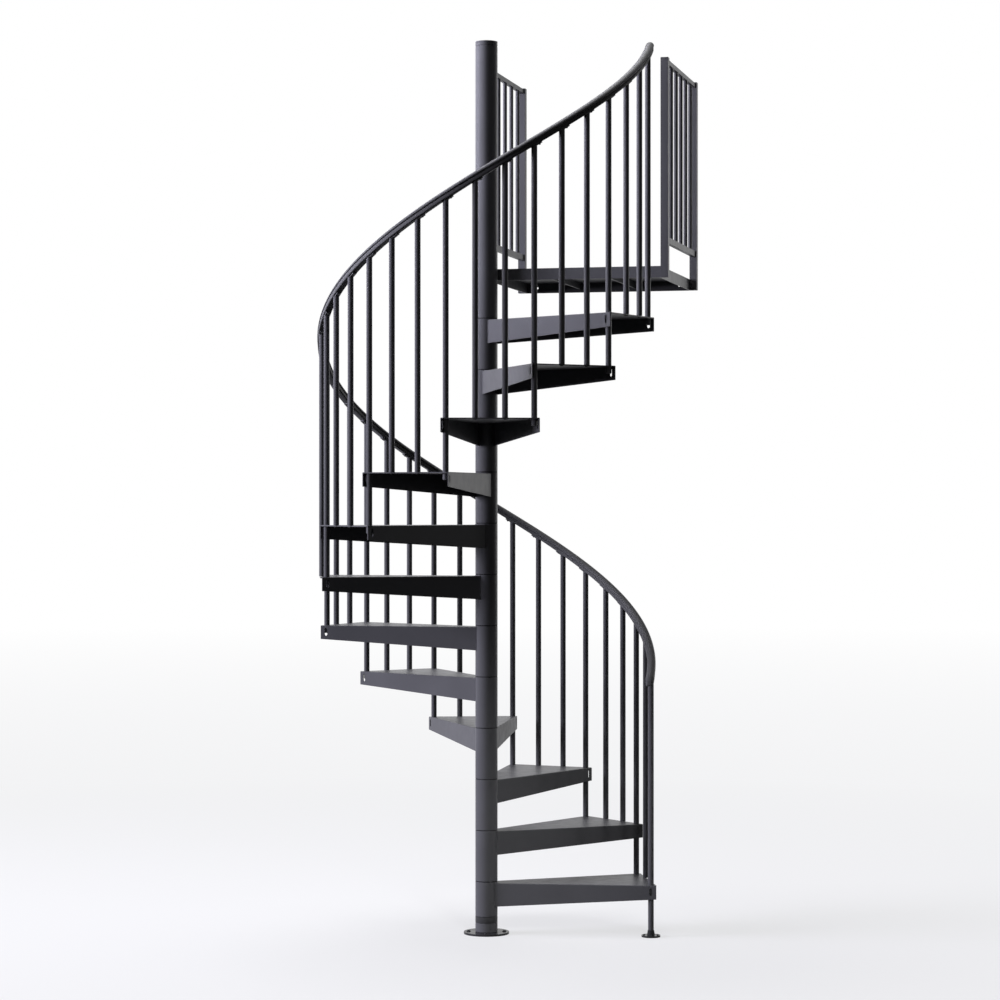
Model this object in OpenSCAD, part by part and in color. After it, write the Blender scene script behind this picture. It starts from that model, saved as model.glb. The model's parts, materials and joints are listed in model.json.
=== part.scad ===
// Spiral staircase: folded steel treads stacked on a centre column, round balusters,
// a helical handrail and a square landing with a guard on two sides.
// Origin: middle of the base plate's underside. +Z up, +X along the landing's front edge.

/* [Stair] */
// Height of one rise
riser = 228.6; // [200:0.1:240]
// Number of treads below the landing
tread_count = 12; // [9:1:12]
// Turn from one tread to the next, in degrees
tread_turn = 29.37; // [26:0.01:30]
// Radius of the treads' curved outer edge
stair_radius = 762; // [650:1:900]
// Angle between the last baluster and the line of the landing's front edge, in degrees
landing_gap_angle = 1.5; // [1:0.1:5]
// Rise from the last tread to the landing
landing_rise = 231; // [200:0.5:240]

/* [Treads] */
// Thickness of the tread plate
plate_t = 5; // [3:0.5:8]
// Thickness of the folded side flanges
flange_t = 4; // [3:0.5:6]
// Depth of a flange at the column
flange_hub_depth = 107; // [80:1:130]
// Depth of a flange at its outer end
flange_tip_depth = 61; // [50:1:75]
// Distance from the column's axis to the line of a flange's outer face
flange_offset = 32; // [24:1:38]
// Outer radius of the fold between plate and flange
fold_r = 4; // [2:0.5:5]
// How much thinner the plate is along the folds
fold_thinning = 0.4; // [0.2:0.1:1]
// Width of the upright slot near a flange's outer end
slot_w = 12; // [8:0.5:14]
// Length of that slot
slot_l = 34; // [24:1:40]
// Depth of the slot's upper end below the tread's top
slot_drop = 12; // [10:1:16]

/* [Column] */
// Outer diameter of the hub sleeves
hub_d = 99.5; // [95:0.5:110]
// Outer diameter of the inner pole
pole_d = 88.9; // [80:0.1:90]
// Wall of the inner pole
pole_wall = 5; // [3:0.5:8]
// Bevel on the rims of the sleeves
hub_bevel = 2.5; // [0.5:0.1:2.6]
// Height of a sleeve's rim above its tread's top
hub_proud = 6.5; // [5:0.5:10]
// Height of the column's top above the landing
column_rise = 1018.5; // [960:0.5:1100]
// Height of one ridge on the cap's side
cap_ridge = 7; // [4:0.5:10]
// Height of the groove below each ridge
cap_groove = 4; // [2:0.5:6]
// Depth of those grooves
cap_groove_depth = 1.5; // [0.5:0.1:3]
// Rise of the cap's crown above its top ridge
cap_crown = 4; // [2:0.5:8]

/* [Base] */
// Diameter of the base plate
base_d = 203; // [180:1:260]
// Thickness of the base plate
base_t = 9; // [6:0.5:16]
// Height of the collar that stands on the base plate
collar_h = 41; // [20:1:50]
// Height of the narrower ring above the collar
spacer_h = 28; // [15:1:40]
// Diameter of the narrower ring
spacer_d = 92.5; // [92:0.5:94.5]
// Number of anchor bolt holes
anchor_count = 4; // [3:1:6]
// Diameter of the anchor bolt holes
anchor_d = 14; // [10:0.5:18]
// Diameter of the anchor bolt circle
anchor_circle = 160; // [140:1:162]
// Turn of the first anchor hole from the landing's front line, in degrees
anchor_turn = 13; // [0:1:45]

/* [Balusters] */
// Diameter of a baluster
baluster_d = 25.4; // [18:0.1:28]
// Distance from the treads' outer edge to the balusters' axes
baluster_inset = 25; // [20:0.5:35]
// Balusters on each tread
balusters_per_tread = 3; // [2:1:3]
// How far a corner baluster's foot reaches below the tread's top
foot_drop = 30; // [20:1:34]
// Length of the flattened tab along the rail's underside, on the uphill side
tab_l = 36; // [24:1:48]
// Length of the tab on the downhill side
tab_back = 9; // [6:0.5:12]
// Width of the tab
tab_w = 20; // [14:0.5:22]
// Thickness of the tab
tab_t = 5; // [3:0.5:8]

/* [Newel foot] */
// Diameter of the foot's flange
newel_foot_d = 84; // [60:1:110]
// Thickness of the foot's flange
newel_foot_t = 8; // [6:0.5:12]
// Wall of the foot's collar at its top
newel_collar_wall = 1.2; // [1:0.1:4]
// How much wider the collar flares on each side down to the flange
newel_flare = 3.5; // [2:0.5:6]
// Height of the collar above the flange
newel_collar_h = 22; // [12:1:40]
// Number of screw holes in the foot's flange
newel_screw_count = 4; // [3:1:4]
// Diameter of those holes
newel_screw_d = 7; // [4:0.5:8]
// Diameter of the screws' circle
newel_screw_circle = 60; // [52:1:64]
// Thickness of the floor under the newel in its foot
newel_sole = 3; // [2:0.5:5]

/* [Handrail] */
// Height of the rail's top above a tread, at its front baluster
rail_height = 961.5; // [860:0.5:1010]
// Width of the rail
rail_w = 38; // [34:0.5:50]
// Height of the rail, square to its slope
rail_h = 36; // [32:0.5:50]
// Height of the rail's dome above its lips
rail_dome = 14; // [10:0.5:16]
// Height of the lips below the dome
rail_lip = 2.4; // [1:0.1:4]
// Height of the groove below the lips
rail_groove = 4.5; // [3:0.5:6]
// Width of the rail between the grooves
rail_neck_w = 31; // [26:0.5:32]
// Width of the rail below the grooves
rail_body_w = 34.5; // [32.5:0.5:36]
// Bevel along the rail's lower edges
rail_bevel = 3.5; // [1:0.5:5]
// How far the rail runs past the end balusters, in degrees
rail_overrun = 5; // [3:0.5:7]

/* [Landing] */
// Width of the landing
landing_w = 791.5; // [700:0.5:900]
// Depth of the landing, from its front edge to the upper floor
landing_d = 795; // [700:1:900]
// Distance from the column's axis out to the landing's left edge
landing_left = 8; // [0:1:20]
// Distance from the column's axis back to the landing's front edge
landing_front = 36; // [30:1:40]
// Thickness of the deck plate
deck_t = 5; // [3:0.5:8]
// Thickness of the edge strips
fascia_t = 5; // [3:0.5:8]
// Depth of the edge strips, with the deck
fascia_depth = 51; // [42:1:80]
// Thickness of the stiffeners under the deck
brace_t = 5; // [3:0.5:8]
// Depth of the stiffeners
brace_depth = 32; // [20:1:36]
// Diameter of the bolt holes in the strip on the upper floor's side
floor_bolt_d = 10; // [8:0.5:16]
// Distance from those holes to the landing's sides
floor_bolt_inset = 54; // [45:1:90]
// Distance from those holes to the top of the deck
floor_bolt_drop = 27; // [20:1:32]

/* [Guards] */
// Height of the guard posts above the deck
guard_h = 921.5; // [860:0.5:1000]
// Width of a square post
post_w = 34; // [28:1:40]
// Distance from a post's top to the top rail
guard_rail_drop = 3; // [1:1:20]
// Width and height of the top rail
guard_rail_h = 20; // [20:1:28]
// Height of the bottom rail
guard_foot_h = 27; // [18:1:32]
// Gap between the deck and the bottom rail
guard_gap = 104.5; // [60:0.5:115]
// Diameter of a round picket
picket_d = 19; // [10:0.5:19.5]
// Pickets in one guard
picket_count = 5; // [4:1:5]
// Distance between neighbouring pickets
picket_pitch = 126.5; // [110:0.5:135]
// Distance from the last picket to the middle of the far post
picket_start = 102; // [90:1:110]

/* [Clearances] */
// Radial gap between the pole or column and what goes round it
sleeve_gap = 0.3; // [0.2:0.05:0.5]
// Radial gap of a baluster in a tread's hole
baluster_gap = 0.4; // [0.2:0.1:0.8]
// Gap between a corner baluster and the flange beside it
flange_gap = 1; // [0.8:0.1:2]
// Gap between a baluster's tab and the rail
rail_gap = 0.3; // [0.2:0.05:0.5]

/* [Hidden] */
$fn = 96;
// Extra length of a cutter beyond what it cuts
cut = 1;
// Angle between neighbouring rings of the handrail, in degrees
rail_step = 4;

landing_top = tread_count * riser + landing_rise;
column_top = landing_top + column_rise;
cap_h = 2 * (cap_groove + cap_ridge) + cap_crown;
base_stack = base_t + collar_h + spacer_h;
baluster_radius = stair_radius - baluster_inset;

// Half the angle between a tread's sides: each side runs past its corner baluster
corner_inset = flange_t + flange_gap + baluster_d / 2;
tread_half = tread_turn / 2 - asin((flange_offset - corner_inset) / baluster_radius);
// Distance of a corner baluster along its flange
flange_baluster = baluster_radius * cos(tread_turn / 2 - tread_half);

rail_pitch = atan(riser / (tread_turn * PI / 180 * baluster_radius));
rail_section = rail_h / cos(rail_pitch);

landing_x0 = -landing_left;
landing_x1 = landing_x0 + landing_w;
landing_y0 = landing_front;
landing_y1 = landing_y0 + landing_d;
guard_top = landing_top + guard_h;
last_picket_y = landing_y1 - post_w / 2 - picket_start;

steel = "#3b3c43";
rail_finish = "#4a4a4d";

function two_digits(k) = str(k < 10 ? "0" : "", k);
function tread_name(k) = str("tread_", two_digits(k));
function balusters_name(k) = str("balusters_", two_digits(k));

// Middle of a tread, the top of a tread and the place of a baluster beside it:
// j = 0 is the front corner, j = balusters_per_tread the rear corner
function tread_mid(k) = -(tread_turn / 2 + landing_gap_angle) - (tread_count - k) * tread_turn;
function tread_top(k) = k * riser;
function baluster_angle(k, j) = tread_mid(k) + (j / balusters_per_tread - 1 / 2) * tread_turn;

newel_angle = baluster_angle(1, 0);
last_angle = baluster_angle(tread_count, balusters_per_tread);
function rail_top(a) = riser + rail_height + (a - newel_angle) * riser / tread_turn;
function rail_under(a) = rail_top(a) - rail_section;

// A sleeve with bevelled rims, standing on z = 0
module sleeve(outer_d, inner_d, h, bevel) {
    ro = outer_d / 2;
    ri = inner_d / 2;
    rotate_extrude()
        polygon([[ri, 0], [ro - bevel, 0], [ro, bevel], [ro, h - bevel], [ro - bevel, h], [ri, h]]);
}

module base_plate() {
    color(steel)
        difference() {
            cylinder(d = base_d, h = base_t);
            for (i = [0 : anchor_count - 1])
                rotate(anchor_turn + i * 360 / anchor_count)
                    translate([anchor_circle / 2, 0, -cut])
                        cylinder(d = anchor_d, h = base_t + 2 * cut);
        }
}

module base_collar() {
    color(steel)
        translate([0, 0, base_t])
            sleeve(hub_d, pole_d + 2 * sleeve_gap, collar_h, hub_bevel);
}

module base_spacer() {
    color(steel)
        translate([0, 0, base_t + collar_h])
            sleeve(spacer_d, pole_d + 2 * sleeve_gap, spacer_h, 0);
}

module center_pole() {
    color(steel)
        translate([0, 0, base_t])
            sleeve(pole_d, pole_d - 2 * pole_wall, column_top - cap_h - base_t, 0);
}

// Corner of the tread plate, at distance t along the side at +1 or -1 of the middle line.
// The plate laps over the inner half of the folds, which run along its sides
fold_lap = 2 * fold_r;
plate_offset = flange_offset - flange_t - fold_lap / 2;
function side_point(side, t) = [
    t * cos(tread_half) - plate_offset * sin(tread_half),
    side * (t * sin(tread_half) + plate_offset * cos(tread_half))
];

module tread_plate() {
    translate([0, 0, -plate_t])
        linear_extrude(plate_t)
            polygon([
                side_point(-1, 0),
                side_point(-1, stair_radius),
                side_point(1, stair_radius),
                side_point(1, 0)
            ]);
}

// Section across the rear fold: a strip of the plate and the flange, with a rounded corner
module fold_section() {
    fold_t = plate_t - fold_thinning;
    difference() {
        union() {
            translate([flange_offset - flange_t, -flange_hub_depth])
                square([flange_t, flange_hub_depth]);
            translate([flange_offset - flange_t - fold_lap, -fold_t])
                square([flange_t + fold_lap, fold_t]);
        }
        translate([flange_offset - fold_r, -fold_r])
            difference() {
                square(fold_r + cut);
                circle(r = fold_r);
            }
    }
}

// The fold on the rear side, whose flange tapers from the column to the outer end
module tread_fold() {
    rotate(tread_half)
        difference() {
            rotate([90, 0, 90])
                linear_extrude(stair_radius)
                    fold_section();
            translate([0, flange_offset + cut, 0])
                rotate([90, 0, 0])
                    linear_extrude(flange_t + 2 * cut)
                        polygon([
                            [0, -flange_hub_depth],
                            [stair_radius + cut, -flange_tip_depth],
                            [stair_radius + cut, -flange_hub_depth - cut],
                            [0, -flange_hub_depth - cut]
                        ]);
        }
}

// Upright slot through the rear flange, beside the corner baluster
module flange_slot() {
    rotate(tread_half)
        translate([flange_baluster, flange_offset + cut, -slot_drop - slot_w / 2])
            rotate([90, 0, 0])
                linear_extrude(flange_t + 2 * cut) {
                    circle(d = slot_w);
                    translate([0, -(slot_l - slot_w)])
                        circle(d = slot_w);
                    translate([-slot_w / 2, -(slot_l - slot_w)])
                        square([slot_w, slot_l - slot_w]);
                }
}

module both_sides() {
    children();
    mirror([0, 1, 0])
        children();
}

// A tread with its top at z = 0, its middle along +X and a hub sleeve of height hub_h,
// whose rim stands a little above the tread. The sheet metal ends inside the sleeve's wall
module tread_body(hub_h) {
    sheet_h = flange_hub_depth + 2 * cut;
    translate([0, 0, hub_proud - hub_h])
        sleeve(hub_d, pole_d + 2 * sleeve_gap, hub_h, hub_bevel);
    difference() {
        intersection() {
            union() {
                tread_plate();
                both_sides()
                    tread_fold();
            }
            translate([0, 0, cut - sheet_h])
                cylinder(r = stair_radius, h = sheet_h);
        }
        translate([0, 0, cut - sheet_h])
            cylinder(d = (hub_d + pole_d) / 2 + sleeve_gap, h = sheet_h);
        both_sides() {
            rotate(tread_turn / 2)
                translate([baluster_radius, 0, -plate_t - cut])
                    cylinder(d = baluster_d + 2 * baluster_gap, h = plate_t + 2 * cut);
            flange_slot();
        }
    }
}

module tread(k) {
    color(steel)
        translate([0, 0, tread_top(k)])
            rotate(tread_mid(k))
                tread_body(k == 1 ? riser + hub_proud - base_stack : riser);
}

module upper_column() {
    z0 = tread_top(tread_count) + hub_proud;
    color(steel)
        translate([0, 0, z0])
            sleeve(hub_d, pole_d + 2 * sleeve_gap, column_top - cap_h - z0, hub_bevel);
}

// A cap with two ridges on its side and a low crown
module column_cap() {
    r = hub_d / 2;
    step = cap_groove + cap_ridge;
    crown_r = (r * r + cap_crown * cap_crown) / (2 * cap_crown);
    color(steel)
        translate([0, 0, column_top - cap_h]) {
            cylinder(r = r - cap_groove_depth, h = 2 * step);
            for (i = [0, 1])
                translate([0, 0, i * step + cap_groove])
                    cylinder(r = r, h = cap_ridge);
            intersection() {
                translate([0, 0, 2 * step - cut])
                    cylinder(r = r, h = cap_crown + 2 * cut);
                translate([0, 0, cap_h - crown_r])
                    sphere(r = crown_r);
            }
        }
}

module landing_deck() {
    z0 = landing_top - fascia_depth;
    color(steel)
        difference() {
            translate([landing_x0, landing_y0, z0])
                difference() {
                    cube([landing_w, landing_d, fascia_depth]);
                    translate([fascia_t, fascia_t, -cut])
                        cube([
                            landing_w - 2 * fascia_t,
                            landing_d - 2 * fascia_t,
                            fascia_depth - deck_t + cut
                        ]);
                }
            translate([0, 0, z0 - cut])
                cylinder(d = hub_d + 2 * sleeve_gap, h = fascia_depth + 2 * cut);
            for (x = [landing_x0 + floor_bolt_inset, landing_x1 - floor_bolt_inset])
                translate([x, landing_y1 + cut, landing_top - floor_bolt_drop])
                    rotate([90, 0, 0])
                        cylinder(d = floor_bolt_d, h = fascia_t + 2 * cut);
        }
}

// Two stiffeners across the underside of the deck, at its thirds
module landing_braces() {
    color(steel)
        for (i = [1, 2])
            translate([
                landing_x0 + i * landing_w / 3 - brace_t / 2,
                landing_y0 + fascia_t,
                landing_top - deck_t - brace_depth
            ])
                cube([brace_t, landing_d - 2 * fascia_t, brace_depth]);
}

// A round upright from z0 to the rail, its top flattened into a tab under the rail
module baluster(a, z0) {
    z1 = rail_under(a) - rail_gap / cos(rail_pitch);
    over = 2 * baluster_d;
    rotate(a)
        translate([baluster_radius, 0, 0]) {
            difference() {
                translate([0, 0, z0])
                    cylinder(d = baluster_d, h = z1 + baluster_d - z0);
                translate([0, 0, z1])
                    rotate([rail_pitch, 0, 0])
                        translate([-over, -over, 0])
                            cube(2 * over);
            }
            translate([0, 0, z1])
                rotate([rail_pitch, 0, 0])
                    translate([-tab_w / 2, -tab_back, -tab_t])
                        cube([tab_w, tab_back + tab_l, tab_t]);
        }
}

// The balusters of one tread: those on its top, and the one through its rear corner
module balusters(k) {
    color(steel)
        for (j = [1 : balusters_per_tread])
            baluster(baluster_angle(k, j), tread_top(k) - (j == balusters_per_tread ? foot_drop : 0));
}

module newel_post() {
    color(steel)
        baluster(newel_angle, newel_sole);
}

// A round flange with a collar that flares down to it
module newel_foot() {
    bore_d = baluster_d + 2 * baluster_gap;
    collar_r = bore_d / 2 + newel_collar_wall;
    foot_h = newel_foot_t + newel_collar_h;
    color(steel)
        rotate(newel_angle)
            translate([baluster_radius, 0, 0])
                difference() {
                    union() {
                        cylinder(d = newel_foot_d, h = newel_foot_t);
                        translate([0, 0, newel_foot_t])
                            cylinder(r1 = collar_r + newel_flare, r2 = collar_r, h = newel_collar_h);
                    }
                    translate([0, 0, newel_sole])
                        cylinder(d = bore_d, h = foot_h);
                    for (i = [0 : newel_screw_count - 1])
                        rotate(i * 360 / newel_screw_count)
                            translate([newel_screw_circle / 2, 0, -cut])
                                cylinder(d = newel_screw_d, h = newel_foot_t + 2 * cut);
                }
}

// Section of the rail: a dome with lips, a groove along each side and a narrower body
rail_shoulder = rail_h / 2 - rail_dome;
rail_throat = rail_shoulder - rail_lip;
rail_chest = rail_throat - rail_groove;
rail_arc = [for (b = [0 : 22.5 : 180]) [rail_w / 2 * cos(b), rail_shoulder + rail_dome * sin(b)]];
rail_right = [
    [rail_body_w / 2 - rail_bevel, -rail_h / 2],
    [rail_body_w / 2, -rail_h / 2 + rail_bevel],
    [rail_body_w / 2, rail_chest],
    [rail_neck_w / 2, rail_chest],
    [rail_neck_w / 2, rail_throat],
    [rail_w / 2 - rail_lip, rail_throat]
];
rail_left = [for (i = [len(rail_right) - 1 : -1 : 0]) [-rail_right[i][0], rail_right[i][1]]];
rail_outline = concat(rail_right, rail_arc, rail_left);

// Rings along the rail as [angle, size]: the ends shrink to a rounded nose
rail_nose = [[0, 0.35], [0.25, 0.7], [0.7, 0.92], [1.3, 1]];
rail_a0 = newel_angle - rail_overrun;
rail_a1 = last_angle + rail_overrun;
rail_spans = ceil((rail_a1 - rail_a0 - 2 * rail_nose[3][0]) / rail_step);
rail_rings = concat(
    [for (n = rail_nose) [rail_a0 + n[0], n[1]]],
    [for (i = [1 : rail_spans - 1])
        [rail_a0 + rail_nose[3][0] + i * (rail_a1 - rail_a0 - 2 * rail_nose[3][0]) / rail_spans, 1]],
    [for (i = [3 : -1 : 0]) [rail_a1 - rail_nose[i][0], rail_nose[i][1]]]);

function rail_point(ring, p) = let (
    r = baluster_radius + p[0] * ring[1],
    z = rail_under(ring[0]) + rail_section / 2 + p[1] * ring[1] / cos(rail_pitch)
) [r * cos(ring[0]), r * sin(ring[0]), z];

module handrail() {
    n = len(rail_outline);
    m = len(rail_rings);
    points = [for (ring = rail_rings) for (p = rail_outline) rail_point(ring, p)];
    walls = [for (i = [0 : m - 2]) for (j = [0 : n - 1]) let (j2 = (j + 1) % n) each [
        [i * n + j, (i + 1) * n + j, (i + 1) * n + j2],
        [i * n + j, (i + 1) * n + j2, i * n + j2]
    ]];
    ends = [[for (j = [0 : n - 1]) j], [for (j = [n - 1 : -1 : 0]) (m - 1) * n + j]];
    color(rail_finish)
        polyhedron(points, concat(walls, ends));
}

module guard_post(x, y) {
    color(steel)
        translate([x, y, landing_top - fascia_depth])
            cube([post_w, post_w, guard_h + fascia_depth]);
}

module right_near_post() {
    guard_post(landing_x1, landing_y0);
}

module right_far_post() {
    guard_post(landing_x1, landing_y1 - post_w);
}

module left_far_post() {
    guard_post(landing_x0 - post_w, landing_y1 - post_w);
}

// Two rails and a row of pickets, centred on x, from y0 to y1
module guard_panel(x, y0, y1) {
    foot_z = landing_top + guard_gap;
    rail_z = guard_top - guard_rail_drop - guard_rail_h;
    translate([x - guard_rail_h / 2, y0, rail_z])
        cube([guard_rail_h, y1 - y0, guard_rail_h]);
    translate([x - guard_rail_h / 2, y0, foot_z])
        cube([guard_rail_h, y1 - y0, guard_foot_h]);
    for (i = [0 : picket_count - 1])
        translate([x, last_picket_y - i * picket_pitch, foot_z + guard_foot_h / 2])
            cylinder(d = picket_d, h = rail_z + guard_rail_h / 2 - foot_z - guard_foot_h / 2);
}

module right_guard_panel() {
    color(steel)
        guard_panel(landing_x1 + post_w / 2, landing_y0 + post_w, landing_y1 - post_w);
}

// The left guard starts at the column, which serves as its near post
module left_guard_panel() {
    color(steel)
        difference() {
            guard_panel(landing_x0 - post_w / 2, 0, landing_y1 - post_w);
            translate([0, 0, landing_top])
                cylinder(d = hub_d + 2 * sleeve_gap, h = column_rise);
        }
}

base_plate();
base_collar();
base_spacer();
center_pole();
for (k = [1 : tread_count])
    tread(k);
upper_column();
column_cap();
landing_deck();
landing_braces();
newel_post();
newel_foot();
for (k = [1 : tread_count])
    balusters(k);
handrail();
right_near_post();
right_far_post();
right_guard_panel();
left_far_post();
left_guard_panel();
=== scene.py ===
"""Looks of a steel spiral staircase: its finishes, rail cover, fastenings, welds and studio."""
import json
import logging
import math
from dataclasses import dataclass
from enum import Enum
from typing import Iterable, Iterator

import bmesh
import bpy
from mathutils import Matrix, Vector


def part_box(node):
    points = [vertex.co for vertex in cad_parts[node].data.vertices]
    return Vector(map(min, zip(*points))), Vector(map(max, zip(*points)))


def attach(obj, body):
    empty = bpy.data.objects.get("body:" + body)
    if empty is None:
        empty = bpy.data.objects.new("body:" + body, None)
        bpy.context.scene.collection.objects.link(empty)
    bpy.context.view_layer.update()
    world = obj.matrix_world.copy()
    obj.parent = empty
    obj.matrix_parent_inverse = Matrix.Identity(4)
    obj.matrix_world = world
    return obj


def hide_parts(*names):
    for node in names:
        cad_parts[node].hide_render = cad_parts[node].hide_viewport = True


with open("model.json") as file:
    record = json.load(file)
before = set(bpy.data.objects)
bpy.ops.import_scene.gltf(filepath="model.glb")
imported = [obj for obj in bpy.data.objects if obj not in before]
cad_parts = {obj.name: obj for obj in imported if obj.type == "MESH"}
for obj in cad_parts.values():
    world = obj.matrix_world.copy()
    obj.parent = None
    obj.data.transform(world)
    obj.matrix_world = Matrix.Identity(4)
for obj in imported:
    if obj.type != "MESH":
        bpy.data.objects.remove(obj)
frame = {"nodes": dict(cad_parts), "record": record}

LOG = logging.getLogger("spiral_stair")
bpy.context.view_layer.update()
MM = 0.001
SAME_HEIGHT = 0.001 * MM
FULL_TURN = 360.0
RIGHT_ANGLE = 90.0
HEX_SIDES = 6
HEX_HALF = FULL_TURN / HEX_SIDES / 2
ORIGIN = (0.0, 0.0, 0.0)
UP = Vector((0.0, 0.0, 1.0))
FLIP = Matrix.Rotation(math.pi, 4, "X")
WHITE = (1.0, 1.0, 1.0)
COOL_WHITE = (0.87, 0.86, 1.0)
NOISE_MIDDLE = (0.3, 0.7)
BLEND_STOPS = (0.35, 0.65)
Colour = tuple[float, float, float]
Points = list[tuple[float, float]]


class Slot(Enum):
    """Material slots of the stair's record."""

    COAT = "black_coat"
    GRIP = "rail_grip"


class Side(Enum):
    """The two sides of a tread, seen along its middle line from the column."""

    FRONT = -1
    REAR = 1


class NodeSheet:
    """One material's node tree, with short calls that add and join nodes."""

    def __init__(self, name: str) -> None:
        """Starts an empty material with an output node.

        Args:
            name: Name of the material.
        """
        self.material = bpy.data.materials.new(name)
        self.material.use_nodes = True
        self.tree = self.material.node_tree
        self.tree.nodes.clear()
        self.output = self.add("ShaderNodeOutputMaterial")

    def add(self, kind: str, **inputs: object) -> bpy.types.Node:
        """Adds a node.

        Args:
            kind: Blender's name of the node type.
            **inputs: Values for its input sockets, with spaces written as underscores.

        Returns:
            The new node.
        """
        node = self.tree.nodes.new(kind)
        for key, value in inputs.items():
            node.inputs[key.replace("_", " ")].default_value = value
        return node

    def join(self, source: bpy.types.NodeSocket, target: bpy.types.NodeSocket) -> None:
        """Links an output socket to an input socket."""
        self.tree.links.new(source, target)

    def noise(self, scale: float, detail: float) -> bpy.types.NodeSocket:
        """Adds a noise pattern on Object coordinates.

        Args:
            scale: Waves per metre.
            detail: Octaves of finer noise.

        Returns:
            The socket with the noise's value.
        """
        place = self.add("ShaderNodeTexCoord")
        pattern = self.add("ShaderNodeTexNoise", Scale=scale, Detail=detail)
        self.join(place.outputs["Object"], pattern.inputs["Vector"])
        return pattern.outputs["Fac"]

    def spread(self, value: bpy.types.NodeSocket, low: float, high: float) -> bpy.types.NodeSocket:
        """Maps the middle of a noise's range to a range of values.

        Args:
            value: The noise.
            low: Result at the noise's low end.
            high: Result at its high end.

        Returns:
            The socket with the mapped value.
        """
        bottom, top = NOISE_MIDDLE
        node = self.add("ShaderNodeMapRange", From_Min=bottom, From_Max=top, To_Min=low, To_Max=high)
        self.join(value, node.inputs["Value"])
        return node.outputs["Result"]

    def blend(self, value: bpy.types.NodeSocket, low: Colour, high: Colour) -> bpy.types.NodeSocket:
        """Blends two colours by a noise.

        Args:
            value: The noise.
            low: Colour at the noise's low end.
            high: Colour at its high end.

        Returns:
            The socket with the blended colour.
        """
        ramp = self.add("ShaderNodeValToRGB")
        for stop, place, colour in zip(ramp.color_ramp.elements, BLEND_STOPS, (low, high)):
            stop.position = place
            stop.color = (*colour, 1.0)
        self.join(value, ramp.inputs["Fac"])
        return ramp.outputs["Color"]


@dataclass(frozen=True)
class CoatFinish:
    """A sprayed or moulded satin finish with soft edges and a fine peel.

    Attributes:
        name: Name of the material.
        low: Darker tone of the colour.
        high: Lighter tone of the colour.
        cloud_scale: Waves per metre of the tone's slow change.
        cloud_detail: Octaves of finer noise in the tone.
        gloss_scale: Waves per metre of the change in roughness.
        gloss_detail: Octaves of finer noise in the roughness.
        peel_scale: Waves per metre of the peel.
        peel_detail: Octaves of finer noise in the peel.
        peel_depth: Height of the peel, in metres.
        smooth: Lowest roughness.
        rough: Highest roughness.
        specular: Specular level.
        metallic: Share of bare metal.
        edge_radius: Radius that the coat gives to sharp edges, in metres.
        edge_samples: Number of rays that find an edge.
    """

    name: str
    low: Colour
    high: Colour
    cloud_scale: float = 4.0
    cloud_detail: float = 4.0
    gloss_scale: float = 24.0
    gloss_detail: float = 5.0
    peel_scale: float = 520.0
    peel_detail: float = 2.0
    peel_depth: float = 0.05 * MM
    smooth: float = 0.34
    rough: float = 0.42
    specular: float = 0.06
    metallic: float = 0.0
    edge_radius: float = 1.2 * MM
    edge_samples: int = 4

    def material(self) -> bpy.types.Material:
        """Builds the node material.

        Returns:
            The finished material.
        """
        sheet = NodeSheet(self.name)
        surface = sheet.add("ShaderNodeBsdfPrincipled", Metallic=self.metallic)
        surface.inputs["Specular IOR Level"].default_value = self.specular
        tone = sheet.blend(sheet.noise(self.cloud_scale, self.cloud_detail), self.low, self.high)
        sheet.join(tone, surface.inputs["Base Color"])
        gloss = sheet.spread(sheet.noise(self.gloss_scale, self.gloss_detail), self.smooth, self.rough)
        sheet.join(gloss, surface.inputs["Roughness"])
        edge = sheet.add("ShaderNodeBevel", Radius=self.edge_radius)
        edge.samples = self.edge_samples
        peel = sheet.add("ShaderNodeBump", Strength=1.0, Distance=self.peel_depth)
        sheet.join(sheet.noise(self.peel_scale, self.peel_detail), peel.inputs["Height"])
        sheet.join(edge.outputs["Normal"], peel.inputs["Normal"])
        sheet.join(peel.outputs["Normal"], surface.inputs["Normal"])
        sheet.join(surface.outputs["BSDF"], sheet.output.inputs["Surface"])
        return sheet.material


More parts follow.
